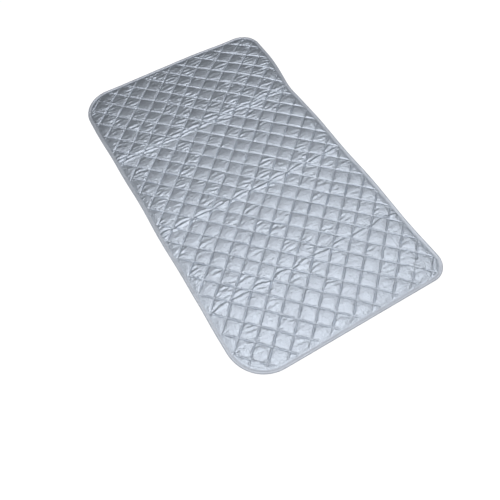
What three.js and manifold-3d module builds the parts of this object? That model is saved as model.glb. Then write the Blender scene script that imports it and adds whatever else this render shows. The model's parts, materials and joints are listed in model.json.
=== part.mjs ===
// A quilted ironing pad: a silver face cloth, wadding and a backing cloth sewn together in diamonds,
// bound round the edge with folded tape, with a disc magnet in a cloth pouch at each corner.
// It lies face up with +Z up and its near end towards -Y, and folds face inwards at three creases.
// Its origin is the middle of the pad on the surface that it lies on. Sizes are in millimetres.

import * as THREE from "three";
import { mergeVertices } from "three/addons/utils/BufferGeometryUtils.js";
import Module from "manifold-3d";

// Plan of the pad, as four panels between the fold creases
const PAD_WIDTH = 460;
const FAR_PANEL_LENGTH = 230;
const SECOND_PANEL_LENGTH = 215;
const THIRD_PANEL_LENGTH = 210;
const NEAR_PANEL_LENGTH = 165;
const CREASE_GAP = 0.4;

// Hand-cut corners, each with its own radius
const FAR_LEFT_RADIUS = 73;
const FAR_RIGHT_RADIUS = 50;
const NEAR_LEFT_RADIUS = 80;
const NEAR_RIGHT_RADIUS = 41;

// Layers
const COVER_THICK = 0.5;
const BACKING_THICK = 0.5;
const WADDING_THICK = 1.2;
const LAYER_GAP = 0.2;

// Quilting: two sets of parallel seams that cross in diamonds
const QUILT_PITCH = 33;
const QUILT_ANGLE = 44.4;
const QUILT_CROSSING_X = -8;
const QUILT_CROSSING_Y = -38;
const GROOVE_WIDTH = 6;
const GROOVE_DEPTH = 2.2;
const CROWN_HEIGHT = 0.6;

// Binding tape, folded over the edge
const BINDING_WIDTH = 7.5;
const TAPE_THICK = 0.6;
const BINDING_ROUND = 1.1;
const BINDING_CLEARANCE = 0.4;
const RAMP_LENGTH = 4;

// Corner magnets and their pouches
const MAGNET_DIAMETER = 22;
const MAGNET_THICK = 2.5;
const MAGNET_SIDE_INSET = 52;
const MAGNET_END_INSET = 44;
const POUCH_THICK = 0.3;
const POUCH_CLEARANCE = 0.1;
const POUCH_FLANGE = 2;
const BULGE_SHOULDER = 1.2;

// Folding: the air left between faces that are folded together
const FOLD_GAP = 0.6;

// Fineness of round stretches
const CORNER_STEPS = 8;
const DISC_SIDES = 24;
const BULGE_SIDES = 16;

// Room left round solids that only cut others
const CUT_MARGIN = 2;

// Plan worked out from the panels
const PAD_LENGTH = FAR_PANEL_LENGTH + SECOND_PANEL_LENGTH + THIRD_PANEL_LENGTH + NEAR_PANEL_LENGTH;
const FAR_END = PAD_LENGTH / 2;
const FAR_CREASE = FAR_END - FAR_PANEL_LENGTH;
const MIDDLE_CREASE = FAR_CREASE - SECOND_PANEL_LENGTH;
const NEAR_CREASE = MIDDLE_CREASE - THIRD_PANEL_LENGTH;
const NEAR_END = NEAR_CREASE - NEAR_PANEL_LENGTH;
const SIDE = PAD_WIDTH / 2;

// Heights in the quilted field
const WADDING_BOTTOM = BACKING_THICK + LAYER_GAP;
const WADDING_TOP = WADDING_BOTTOM + WADDING_THICK;
const COVER_BOTTOM = WADDING_TOP + LAYER_GAP;
const SEAM_HEIGHT = COVER_BOTTOM + COVER_THICK;
const SHOULDER_HEIGHT = SEAM_HEIGHT + GROOVE_DEPTH;
const CREST_HEIGHT = SHOULDER_HEIGHT + CROWN_HEIGHT;

// Heights inside the folded tape, which closes on the face at seam height, and how far in the
// layers reach
const BACKING_RIM_TOP = TAPE_THICK + BACKING_THICK;
const BINDING_HEIGHT = SEAM_HEIGHT + TAPE_THICK;
const RIM_INSET = TAPE_THICK + BINDING_CLEARANCE;
const RAMP_START = BINDING_WIDTH + BINDING_CLEARANCE;
const RAMP_END = RAMP_START + RAMP_LENGTH;

// Magnets, pouches and the bulge that they raise
const MAGNET_RADIUS = MAGNET_DIAMETER / 2;
const POUCH_INNER_RADIUS = MAGNET_RADIUS + POUCH_CLEARANCE;
const POUCH_RADIUS = POUCH_INNER_RADIUS + POUCH_THICK;
const POUCH_INNER_TOP = BACKING_THICK + MAGNET_THICK + POUCH_CLEARANCE;
const POUCH_TOP = POUCH_INNER_TOP + POUCH_THICK;
const FLANGE_RADIUS = POUCH_RADIUS + POUCH_FLANGE;
const FLANGE_TOP = BACKING_THICK + POUCH_THICK;
const BULGE_HEIGHT = POUCH_TOP + LAYER_GAP + WADDING_THICK + COVER_THICK;
const BULGE_RADIUS = POUCH_RADIUS + LAYER_GAP + BULGE_SHOULDER;

// The thickest place, which sets how high each fold's axis lies: the near panel folds on to the
// third, those two on to the second, and those three on to the far one
const PAD_THICK = Math.max(CREST_HEIGHT, BULGE_HEIGHT, BINDING_HEIGHT);
const NEAR_FOLD_HEIGHT = PAD_THICK + FOLD_GAP / 2;
const MIDDLE_FOLD_HEIGHT = 1.5 * PAD_THICK + FOLD_GAP;
const FAR_FOLD_HEIGHT = 2 * PAD_THICK + 1.5 * FOLD_GAP;

// Directions across the two sets of seams
const SEAM_ALONG = new THREE.Vector2(1, 0).rotateAround(
  new THREE.Vector2(),
  THREE.MathUtils.degToRad(QUILT_ANGLE),
);
const SEAM_ACROSS = new THREE.Vector2(SEAM_ALONG.y, -SEAM_ALONG.x);

const wasm = await Module();
wasm.setup();

// A closed geometry as a solid that can be joined and cut.
function solidOf(geometry) {
  const bare = geometry.clone();
  bare.deleteAttribute("normal");
  bare.deleteAttribute("uv");
  const merged = mergeVertices(bare);
  const vertProperties = merged.getAttribute("position").array;
  const triVerts = new Uint32Array(merged.index.array);
  return new wasm.Manifold(new wasm.Mesh({ numProp: 3, vertProperties, triVerts }));
}

// A solid as a geometry again.
function geometryOf(solid) {
  const { vertProperties, triVerts } = solid.getMesh();
  const geometry = new THREE.BufferGeometry();
  geometry.setAttribute("position", new THREE.BufferAttribute(vertProperties, 3));
  geometry.setIndex(new THREE.BufferAttribute(triVerts, 1));
  geometry.computeVertexNormals();
  return geometry;
}

// A geometry from a list of faces, each three or four points in anticlockwise order.
function geometryOfFaces(faces) {
  const triangles = faces.flatMap(([a, b, c, d]) => (d ? [a, b, c, a, c, d] : [a, b, c]));
  return new THREE.BufferGeometry().setFromPoints(triangles);
}

// The pad's outline, drawn in by an inset, anticlockwise from the far right corner.
function outline(inset) {
  const corners = [
    [SIDE, FAR_END, FAR_RIGHT_RADIUS],
    [-SIDE, FAR_END, FAR_LEFT_RADIUS],
    [-SIDE, NEAR_END, NEAR_LEFT_RADIUS],
    [SIDE, NEAR_END, NEAR_RIGHT_RADIUS],
  ];
  return corners.flatMap(([x, y, radius], corner) => {
    const centreX = x - Math.sign(x) * radius;
    const centreY = y - Math.sign(y) * radius;
    return Array.from({ length: CORNER_STEPS + 1 }, (_, step) => {
      const angle = ((corner + step / CORNER_STEPS) * Math.PI) / 2;
      const reach = radius - inset;
      return new THREE.Vector2(centreX + reach * Math.cos(angle), centreY + reach * Math.sin(angle));
    });
  });
}

// The outline carried through a list of [inset, height] pairs that runs from underneath, round the
// outside, to the top. A slab is capped at both ends of the list, and a ring closes on itself.
function loft(profile, isRing) {
  const loops = profile.map(([inset, height]) =>
    outline(inset).map((point) => new THREE.Vector3(point.x, point.y, height)),
  );
  const faces = [];
  const lastPair = isRing ? loops.length : loops.length - 1;
  for (let k = 0; k < lastPair; k++) {
    const lower = loops[k];
    const upper = loops[(k + 1) % loops.length];
    lower.forEach((point, i) => {
      const next = (i + 1) % lower.length;
      faces.push([point, lower[next], upper[next], upper[i]]);
    });
  }
  if (!isRing) {
    const bottom = loops[0];
    const top = loops[loops.length - 1];
    for (let i = 1; i < top.length - 1; i++) {
      faces.push([bottom[0], bottom[i + 1], bottom[i]]);
      faces.push([top[0], top[i], top[i + 1]]);
    }
  }
  return solidOf(geometryOfFaces(faces));
}

// A seam crossing, counted in seams each way from the one that is given above.
function crossing(across, along, height) {
  const x = QUILT_CROSSING_X + QUILT_PITCH * (across * SEAM_ACROSS.x + along * SEAM_ALONG.x);
  const y = QUILT_CROSSING_Y + QUILT_PITCH * (across * SEAM_ACROSS.y + along * SEAM_ALONG.y);
  return new THREE.Vector3(x, y, height);
}

// A block wider than the pad whose top is the quilted face: each diamond rises from the grooves of
// its four seams to a shoulder, and from there to a low crown.
function quiltBlock() {
  const reach = Math.hypot(SIDE + Math.abs(QUILT_CROSSING_X), FAR_END + Math.abs(QUILT_CROSSING_Y));
  const seams = Math.ceil(reach / QUILT_PITCH) + 1;
  const shoulderShare = 1 - GROOVE_WIDTH / QUILT_PITCH;
  const faces = [];
  for (let i = -seams; i < seams; i++) {
    for (let j = -seams; j < seams; j++) {
      const corners = [[i, j], [i + 1, j], [i + 1, j + 1], [i, j + 1]];
      const isOuter = [j === -seams, i === seams - 1, j === seams - 1, i === -seams];
      const base = corners.map(([across, along]) => crossing(across, along, 0));
      const seam = corners.map(([across, along]) => crossing(across, along, SEAM_HEIGHT));
      const middle = crossing(i + 0.5, j + 0.5, SHOULDER_HEIGHT);
      const crest = crossing(i + 0.5, j + 0.5, CREST_HEIGHT);
      const shoulder = seam.map((corner) =>
        middle.clone().lerp(corner, shoulderShare).setZ(SHOULDER_HEIGHT),
      );
      faces.push([base[3], base[2], base[1], base[0]]);
      for (let side = 0; side < corners.length; side++) {
        const next = (side + 1) % corners.length;
        faces.push([seam[side], seam[next], shoulder[next], shoulder[side]]);
        faces.push([shoulder[side], shoulder[next], crest]);
        if (isOuter[side]) faces.push([base[side], base[next], seam[next], seam[side]]);
      }
    }
  }
  return solidOf(geometryOfFaces(faces));
}

// An upright disc or cone between two heights.
function upright(x, y, bottomRadius, topRadius, bottom, top, sides) {
  const height = top - bottom;
  const geometry = new THREE.CylinderGeometry(topRadius, bottomRadius, height, sides);
  geometry.rotateX(Math.PI / 2);
  geometry.translate(x, y, bottom + height / 2);
  return geometry;
}

// The four places of the magnets.
const magnetSpots = [
  { corner: "far_left", x: -SIDE + MAGNET_SIDE_INSET, y: FAR_END - MAGNET_END_INSET },
  { corner: "far_right", x: SIDE - MAGNET_SIDE_INSET, y: FAR_END - MAGNET_END_INSET },
  { corner: "near_left", x: -SIDE + MAGNET_SIDE_INSET, y: NEAR_END + MAGNET_END_INSET },
  { corner: "near_right", x: SIDE - MAGNET_SIDE_INSET, y: NEAR_END + MAGNET_END_INSET },
];

// A solid with room cut into it for the pouches.
function withPouchRoom(solid) {
  const flange = [FLANGE_RADIUS + LAYER_GAP, FLANGE_TOP + LAYER_GAP];
  const cap = [POUCH_RADIUS + LAYER_GAP, POUCH_TOP + LAYER_GAP];
  let cut = solid;
  for (const { x, y } of magnetSpots) {
    for (const [radius, top] of [flange, cap]) {
      cut = cut.subtract(solidOf(upright(x, y, radius, radius, 0, top, DISC_SIDES)));
    }
  }
  return cut;
}

// The face cloth with the loft that its diamonds hold: flat underneath, quilted on top, raised over
// the magnets, and running down a ramp to the flat rim that the tape holds.
function makeCover() {
  const bulgeFoot = BULGE_RADIUS + BULGE_HEIGHT - SEAM_HEIGHT;
  let block = quiltBlock();
  for (const { x, y } of magnetSpots) {
    const bulge = upright(x, y, bulgeFoot, BULGE_RADIUS, SEAM_HEIGHT, BULGE_HEIGHT, BULGE_SIDES);
    block = block.add(solidOf(bulge));
  }
  const roof = loft([
    [RIM_INSET, COVER_BOTTOM],
    [RIM_INSET, SEAM_HEIGHT],
    [RAMP_START, SEAM_HEIGHT],
    [RAMP_END, PAD_THICK + CUT_MARGIN],
  ]);
  return withPouchRoom(block.intersect(roof));
}

// The wadding, an even layer that is pressed thin inside the tape.
function makeWadding() {
  const slab = loft([
    [RAMP_END, WADDING_BOTTOM],
    [RAMP_START, BACKING_RIM_TOP + LAYER_GAP],
    [RIM_INSET, BACKING_RIM_TOP + LAYER_GAP],
    [RIM_INSET, WADDING_TOP],
  ]);
  return withPouchRoom(slab);
}

// The backing cloth, flat underneath, with its rim lifted on to the lower leg of the tape.
function makeBacking() {
  return loft([
    [RAMP_END, 0],
    [RAMP_START, TAPE_THICK],
    [RIM_INSET, TAPE_THICK],
    [RIM_INSET, BACKING_RIM_TOP],
    [RAMP_START, BACKING_RIM_TOP],
    [RAMP_END, BACKING_THICK],
  ]);
}

// The binding tape: a folded strip whose two legs hold the rims of the three layers.
function makeBinding() {
  const isRing = true;
  return loft(
    [
      [BINDING_WIDTH, 0],
      [BINDING_ROUND, 0],
      [0, BINDING_ROUND],
      [0, BINDING_HEIGHT - BINDING_ROUND],
      [BINDING_ROUND, BINDING_HEIGHT],
      [BINDING_WIDTH, BINDING_HEIGHT],
      [BINDING_WIDTH, SEAM_HEIGHT],
      [TAPE_THICK, SEAM_HEIGHT],
      [TAPE_THICK, TAPE_THICK],
      [BINDING_WIDTH, TAPE_THICK],
    ],
    isRing,
  );
}

// A disc magnet, standing on the backing cloth.
function magnetGeometry({ x, y }) {
  const top = BACKING_THICK + MAGNET_THICK;
  return upright(x, y, MAGNET_RADIUS, MAGNET_RADIUS, BACKING_THICK, top, DISC_SIDES);
}

// A magnet's pouch: a cloth cap over the disc, with a flange that is sewn to the backing.
function pouchGeometry({ x, y }) {
  const profile = [
    [0, POUCH_INNER_TOP],
    [POUCH_INNER_RADIUS, POUCH_INNER_TOP],
    [POUCH_INNER_RADIUS, BACKING_THICK],
    [FLANGE_RADIUS, BACKING_THICK],
    [FLANGE_RADIUS, FLANGE_TOP],
    [POUCH_RADIUS, FLANGE_TOP],
    [POUCH_RADIUS, POUCH_TOP],
    [0, POUCH_TOP],
  ].map(([radius, height]) => new THREE.Vector2(radius, height));
  const geometry = new THREE.LatheGeometry(profile, DISC_SIDES);
  geometry.rotateX(Math.PI / 2);
  geometry.translate(x, y, 0);
  return geometry;
}

// A box that keeps one panel's stretch of the pad, between the sides given.
function panelBox(panel, left, right) {
  const height = 2 * (PAD_THICK + CUT_MARGIN);
  const geometry = new THREE.BoxGeometry(right - left, panel.far - panel.near, height);
  geometry.translate((left + right) / 2, (panel.far + panel.near) / 2, 0);
  return solidOf(geometry);
}

// Finishes
const FINISHES = {
  cover: { color: 0xaab1bc, roughness: 0.45, metalness: 0.35 },
  wadding: { color: 0xf1efe8, roughness: 1, metalness: 0 },
  backing: { color: 0xb9bcc2, roughness: 0.9, metalness: 0 },
  binding: { color: 0xa4abb8, roughness: 0.6, metalness: 0.1 },
  magnet: { color: 0x4a4b4e, roughness: 0.4, metalness: 0.8 },
  pouch: { color: 0xe4e4e2, roughness: 0.95, metalness: 0 },
};

function addPiece(parent, name, finish, geometry) {
  const mesh = new THREE.Mesh(geometry, new THREE.MeshStandardMaterial(FINISHES[finish]));
  mesh.name = name;
  parent.add(mesh);
}

// A group that turns about an axis along X and is otherwise in the pad's own frame.
function foldGroup(parent, y, height) {
  const turning = new THREE.Group();
  turning.position.set(0, y, height);
  const panel = new THREE.Group();
  panel.position.set(0, -y, -height);
  turning.add(panel);
  parent.add(turning);
  return panel;
}

// The panels, each carried by the one before it
const HALF_GAP = CREASE_GAP / 2;
const farPanel = new THREE.Group();
const secondPanel = foldGroup(farPanel, FAR_CREASE, FAR_FOLD_HEIGHT);
const thirdPanel = foldGroup(secondPanel, MIDDLE_CREASE, MIDDLE_FOLD_HEIGHT);
const nearPanel = foldGroup(thirdPanel, NEAR_CREASE, NEAR_FOLD_HEIGHT);
const panels = [
  { name: "far", group: farPanel, far: FAR_END + CUT_MARGIN, near: FAR_CREASE + HALF_GAP, isEnd: true },
  { name: "second", group: secondPanel, far: FAR_CREASE - HALF_GAP, near: MIDDLE_CREASE + HALF_GAP },
  { name: "third", group: thirdPanel, far: MIDDLE_CREASE - HALF_GAP, near: NEAR_CREASE + HALF_GAP },
  { name: "near", group: nearPanel, far: NEAR_CREASE - HALF_GAP, near: NEAR_END - CUT_MARGIN, isEnd: true },
];

const cover = makeCover();
const wadding = makeWadding();
const backing = makeBacking();
const binding = makeBinding();
const left = -SIDE - CUT_MARGIN;
const right = SIDE + CUT_MARGIN;
for (const panel of panels) {
  const { name, group, isEnd } = panel;
  const box = panelBox(panel, left, right);
  addPiece(group, `top_cover_${name}`, "cover", geometryOf(cover.intersect(box)));
  addPiece(group, `wadding_${name}`, "wadding", geometryOf(wadding.intersect(box)));
  addPiece(group, `backing_${name}`, "backing", geometryOf(backing.intersect(box)));
  if (isEnd) {
    addPiece(group, `binding_${name}_end`, "binding", geometryOf(binding.intersect(box)));
  } else {
    const leftBox = panelBox(panel, left, 0);
    const rightBox = panelBox(panel, 0, right);
    addPiece(group, `binding_${name}_left`, "binding", geometryOf(binding.intersect(leftBox)));
    addPiece(group, `binding_${name}_right`, "binding", geometryOf(binding.intersect(rightBox)));
  }
}

for (const spot of magnetSpots) {
  const group = spot.y > 0 ? farPanel : nearPanel;
  addPiece(group, `magnet_${spot.corner}`, "magnet", magnetGeometry(spot));
  addPiece(group, `magnet_pouch_${spot.corner}`, "pouch", pouchGeometry(spot));
}

const pad = new THREE.Group();
pad.name = "ironing_pad";
pad.add(farPanel);

export default pad;
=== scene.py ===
"""Looks of a quilted ironing pad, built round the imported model.

Three lengths of padded top, backing, edge tape and thread lie end to end, and each crosses one fold.
Sizes are millimetres in the pad's own frame, and become metres where a mesh is made.
"""

import json
import math
from collections import namedtuple

import bpy
import numpy as np
from mathutils import Matrix, Quaternion, Vector

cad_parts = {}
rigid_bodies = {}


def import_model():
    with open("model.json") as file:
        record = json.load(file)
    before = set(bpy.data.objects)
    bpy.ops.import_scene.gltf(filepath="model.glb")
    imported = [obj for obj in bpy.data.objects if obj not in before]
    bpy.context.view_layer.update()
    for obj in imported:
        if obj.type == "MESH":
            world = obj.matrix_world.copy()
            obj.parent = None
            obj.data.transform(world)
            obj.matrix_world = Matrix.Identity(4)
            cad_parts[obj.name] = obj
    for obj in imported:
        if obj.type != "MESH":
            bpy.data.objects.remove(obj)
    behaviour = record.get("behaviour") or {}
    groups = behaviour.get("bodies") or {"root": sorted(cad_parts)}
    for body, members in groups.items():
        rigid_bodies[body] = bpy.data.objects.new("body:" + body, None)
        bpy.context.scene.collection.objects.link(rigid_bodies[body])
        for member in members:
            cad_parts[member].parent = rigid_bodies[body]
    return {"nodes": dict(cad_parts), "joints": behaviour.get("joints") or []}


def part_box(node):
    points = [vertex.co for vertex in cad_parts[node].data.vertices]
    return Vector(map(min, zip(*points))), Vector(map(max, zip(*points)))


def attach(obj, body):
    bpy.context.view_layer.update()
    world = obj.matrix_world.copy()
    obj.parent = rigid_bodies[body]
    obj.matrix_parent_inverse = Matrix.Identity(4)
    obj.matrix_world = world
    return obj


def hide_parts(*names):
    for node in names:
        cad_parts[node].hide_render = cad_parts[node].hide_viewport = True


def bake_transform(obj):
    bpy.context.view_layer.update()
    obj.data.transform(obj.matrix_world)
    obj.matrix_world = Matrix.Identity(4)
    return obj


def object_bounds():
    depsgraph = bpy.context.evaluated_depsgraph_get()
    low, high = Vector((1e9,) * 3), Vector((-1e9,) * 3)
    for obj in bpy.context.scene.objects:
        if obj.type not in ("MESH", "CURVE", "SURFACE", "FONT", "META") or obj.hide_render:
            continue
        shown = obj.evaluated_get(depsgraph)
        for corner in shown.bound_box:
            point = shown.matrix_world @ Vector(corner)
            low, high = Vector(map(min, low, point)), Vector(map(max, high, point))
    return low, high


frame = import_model()
cad_low, cad_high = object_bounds()

MM = 0.001
TINY = 1e-9
HAIR = 1e-6

# Outline of the pad
HALF_WIDTH = (cad_high.x - cad_low.x) / 2 / MM
HALF_LENGTH = (cad_high.y - cad_low.y) / 2 / MM
FAR_LEFT_RADIUS = 73.0
FAR_RIGHT_RADIUS = 50.0
NEAR_LEFT_RADIUS = 80.0
NEAR_RIGHT_RADIUS = 41.0
SLOPE_STEP = 0.05

# How the pad lies, off its cut outline. A dent is a depth, its middle and its reach along the side.
# The flare and what the ends draw in are an amount, and where it starts and is full.
SIDE_START = 40.0
SIDE_FLARE = (13.5, 170.0, 320.0)
RIGHT_DENTS = ((2.0, 175.0, 35.0), (2.5, -310.0, 60.0))
LEFT_DENTS = ((1.8, -235.0, 45.0), (-3.0, 265.0, 60.0))
SIDE_WAVE = 0.9
SIDE_WAVE_LENGTH = 31.0
FAR_END_START = 250.0
FAR_END_DRAWS = ((2.5, -215.0, -120.0), (5.0, 60.0, 170.0))
NEAR_END_START = 300.0
NEAR_END_DRAW = 1.4

# Folds, far end first, and where the three lengths of cloth meet between them
FOLDS = list(frame["joints"])
FOLD_Y = [joint["pos_m"][1] / MM for joint in FOLDS]
LENGTHS = ("far", "middle", "near")
MEETING_Y = (100.0, -140.0)

# Quilting
SEAM_PITCH = 33.0
RISING_SEAM_ANGLE = 44.6
FALLING_SEAM_ANGLE = -45.8
SEAM_CROSSING = (-8.0, -38.0)
SEAM_WANDER = 0.4
SEAM_WANDER_LENGTH = 120.0
LATTICE_START = (-13, -14)
LATTICE_COUNT = 28
TOP_CELLS = 12
BACKING_CELLS = 12
SEAM_FINENESS = 0.35
EDGE_SNAP = 0.7

# Edge tape: its gathers, plain and at corners, and the part of its section that they swell
TAPE_WIDTH = 7.5
TAPE_STEP = 2.0
TAPE_SEWN_INSET = 5.9
TAPE_STITCH_HEIGHT = 2.36
TAPE_UNDER_STITCH_HEIGHT = 0.42
TAPE_TURN_STEPS = 6
TAPE_CORNER_GAIN = 6.0
TAPE_GATHERS = (0.08, 0.2)
TAPE_GATHER_LENGTH = 8.0
TAPE_SWAY = 0.1
TAPE_SWAY_LENGTH = 40.0
TAPE_SWELL_HEIGHTS = (0.2, 2.6)
TAPE_HELD = 0.8
TAPE_HELD_FROM = 4.0

# Heights of the padded top, insets from the edge, and how far in each kind of relief is full
SEAM_HEIGHT = 2.1
TUCK_HEIGHT = 1.9
TUCK_INSET = 3.0
SETTLED_INSET = TUCK_INSET + 1.5
FREE_INSET = 8.6
PUFF_RAMP = 16.0
GROOVE_RAMP = 4.0
CRINKLE_RAMP = 3.0
PUFF_HEIGHT = 2.4
PUFF_ROUNDNESS = 0.58
GROOVE_DEPTH = 0.8
GROOVE_REACH = 2.4
HIGHEST_PUFF = 5.6
EASING_ROOM = 0.8

# Small crumples of the face cloth
FINE_WAVES = 40
CRINKLE_HEIGHT = 0.27
CRINKLE_LENGTH = 5.8
CRINKLE_STRETCH = 1.6
CRINKLE_SHARES = (0.8, 0.3)
PUCKER_HEIGHT = 0.28
PUCKER_LENGTH = 5.5
PUCKER_REACH = 2.6
PUCKER_SHARPNESS = 1.4

# Backing
INNER_GAP = 0.2
BACKING_RELIEF = 0.5
BACKING_THICK = 0.45
BACKING_RIM_LIFT = 0.8
BACKING_RIM_START = FREE_INSET + 6.0
BACKING_RIM_END = TAPE_WIDTH + 0.3

# Slack of the face cloth along the pad, as a share of its length: how unlike the diamonds are,
# how busy the cloth is all over, towards the far end and beside the folds, and how patchy
LEAST_SLACK = 0.018
UNEVEN_SLACK = 0.05
LUCK_POWER = 1.4
BUSY = 0.8
BUSY_FAR = 0.6
BUSY_FAR_SPAN = (60.0, 260.0)
BUSY_FOLD = 0.6
BUSY_FOLD_BEYOND = 8.0
BUSY_FOLD_REACH = 28.0
SLACK_PATCH = 45.0
PATCH_LEAST = 0.45
PATCH_MORE = 1.1
PATCH_SPAN = (-0.5, 1.5)
SIDEWAYS_SLACK = 0.3
BUMP_HEIGHT = 0.25
BUMP_LENGTH = 11.0
BUMP_STRETCH = 2.0
BUMP_LEAST = 0.4

# Creases that the folds leave: each has its fold, its distance beyond, spare cloth and reach
CREASES = ((0, 0.0, 0.1, 2.4), (0, 9.0, 0.1, 2.0), (1, 0.0, 0.2, 2.5), (2, 0.0, 0.24, 2.4))
CREASE_BUMP = 0.9
CREASE_WANDER = 1.4
CREASE_WANDER_LENGTH = 60.0
CREASE_SHIFT = (0.0, -5.0, -1.0)
CREASE_UNEVEN = 0.25
CREASE_PATCH = 25.0
CREASE_RIDGE = (1.7, 2.6, 1.9)
RIDGE_BEFORE = 1.5
RIDGE_REACH = 3.5
CREASE_VALLEY = 0.75
VALLEY_BEYOND = 3.5
VALLEY_REACH = 2.5
CREASE_RISE = (2.0, 1.2, 0.0)
CREASE_RISE_REACH = (6.0, 12.0, 12.0)

# Seeds of the random waves
SEAM_SEEDS = (3, 4)
LUCK_SEED = 7
TAPE_SEEDS = (21, 22)
BUMP_SEED = 41
PATCH_SEED = 43
CREASE_SEED = 50
RIDGE_SEED = 57
CRINKLE_SEEDS = (71, 72)
PUCKER_SEED = 73

# Simulation of the face cloth on its wadding
CLOTH_STEPS = 120
CLOTH_STIFFNESS = 0.014
WADDING_SUPPORT = 0.010
WADDING_GRIP = 0.2
DIAGONAL_TIE = 0.7

# Magnets under the cloth, and their pouches
MAGNETS = ("far_left", "far_right", "near_left", "near_right")
MAGNET_RISE = 2.2
MAGNET_RIM = 1.5
MAGNET_SHOULDER = 5.5
MAGNET_FLATTENS = 0.55
POUCH_ROOM_TOP = 3.9
POUCH_ROOM_RIM = 1.4
POUCH_ROOM_SHOULDER = 4.5
POUCH_THICK = 0.25
POUCH_LIFT = 0.02
POUCH_CLEARANCE = 0.12
POUCH_CAP_GAP = 0.05
POUCH_CAP_SHARE = 0.6
POUCH_SIDES = 72
POUCH_PLEATS = 18
POUCH_PLEAT_DEPTH = 0.07

# Thread
STITCH_LENGTH = 2.9
STITCH_PITCH = 3.6
STITCH_TAPER = 0.6
THREAD_WIDTH = 0.55
THREAD_CROWN = 1.4
THREAD_LIFT = 0.1
UNDER_THREAD_LIFT = -0.05
UNDER_THREAD_LOWEST = 0.45
SEAM_END_INSET = TAPE_WIDTH - 1.0

# Cloth materials: a wave texture repeats each WAVE_REPEAT over its scale
WAVE_REPEAT = math.pi / 10.0
WEAVE_STRENGTH = 0.35
WEAVE_DEPTH = 0.12
CRUMPLE_DEPTH = 1.8
TINT_SPAN = (0.3, 0.7)
TINTS = (0.94, 1.05)
GLOSS_SPREAD = 0.06

# Floor and room
FLOOR_REACH = 40000.0
FLOOR_DROP = 0.05
FLOOR_GREY = 0.3
FLOOR_GLOW = 0.85
ROOM_GLOW = 0.1

# Camera that sees the pad as the photograph does, in a square picture
CAMERA_PLACE = (-324.3, -665.7, 973.5)
CAMERA_AZIMUTH = -25.74
CAMERA_ELEVATION = 60.24
CAMERA_ROLL = -4.96
CAMERA_LENS = 39.79
CAMERA_SENSOR = 36.0
CAMERA_CLIP_START = 0.01


def smooth(value, start, end):
    """0 up to start and 1 from end on, with an easy slope between them."""
    share = np.clip((value - start) / (end - start), 0.0, 1.0)
    return share * share * (3.0 - 2.0 * share)


def bell(away, reach):
    """1 at no distance, and falling off smoothly within a reach."""
    return np.exp(-((away / reach) ** 2))


def ripple(points, wavelength, seed, count=24, longer=1.0):
    """Smooth random waves of about unit height over flat points, so much longer across the pad."""
    rng = np.random.default_rng(seed)
    angle = rng.uniform(0.0, 2.0 * math.pi, count)
    phase = rng.uniform(0.0, 2.0 * math.pi, count)
    rate = 2.0 * math.pi / (wavelength * rng.uniform(0.7, 1.4, count))
    across = points[..., :1] * (rate * np.cos(angle) / longer)
    along = points[..., 1:2] * (rate * np.sin(angle))
    return np.cos(across + along + phase).sum(axis=-1) / math.sqrt(count / 2.0)


def dents_along(y, dents):
    """How far a side is drawn in by its dents, at places along the pad."""
    return sum(depth * bell(y - middle, reach) for depth, middle, reach in dents)


def lay(flat):
    """The pad as it lies: its right far corner spreads a little, its sides wave and its ends draw in."""
    x, y = flat[..., 0], flat[..., 1]
    right = smooth(x, SIDE_START, HALF_WIDTH)
    left = smooth(x, -SIDE_START, -HALF_WIDTH)
    far = smooth(y, FAR_END_START, HALF_LENGTH)
    near = smooth(-y, NEAR_END_START, HALF_LENGTH)
    spread, first, last = SIDE_FLARE
    flare = spread * smooth(y, first, last)
    wave = SIDE_WAVE * np.sin(y / SIDE_WAVE_LENGTH) * (x / HALF_WIDTH) ** 2
    far_draw = sum(draw * smooth(x, first, last) for draw, first, last in FAR_END_DRAWS)
    moved_x = x + right * (flare - dents_along(y, RIGHT_DENTS)) + left * dents_along(y, LEFT_DENTS) + wave
    moved_y = y - far * far_draw - NEAR_END_DRAW * near
    return np.stack([moved_x, moved_y], axis=-1)


def depth_inside(flat):
    """Distance of flat points inside the pad's outline, negative outside it."""
    x, y = flat[..., 0], flat[..., 1]
    left_radius = np.where(y > 0, FAR_LEFT_RADIUS, NEAR_LEFT_RADIUS)
    right_radius = np.where(y > 0, FAR_RIGHT_RADIUS, NEAR_RIGHT_RADIUS)
    radius = np.where(x < 0, left_radius, right_radius)
    past_x = np.abs(x) - (HALF_WIDTH - radius)
    past_y = np.abs(y) - (HALF_LENGTH - radius)
    corner = np.hypot(np.maximum(past_x, 0.0), np.maximum(past_y, 0.0))
    return radius - corner - np.minimum(np.maximum(past_x, past_y), 0.0)


def inward(flat):
    """Unit directions from flat points away from the nearest stretch of outline."""
    steps = ([SLOPE_STEP, 0.0], [0.0, SLOPE_STEP])
    slope = np.column_stack([depth_inside(flat + step) - depth_inside(flat - step) for step in steps])
    return slope / np.maximum(np.linalg.norm(slope, axis=1), TINY)[:, None]


def run_along(path):
    """Distance along a path at each of its points."""
    return np.concatenate([[0.0], np.cumsum(np.linalg.norm(np.diff(path, axis=0), axis=1))])


def points_at(path, places):
    """Points at distances along a path."""
    run = run_along(path)
    return np.column_stack([np.interp(places, run, column) for column in path.T])


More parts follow.
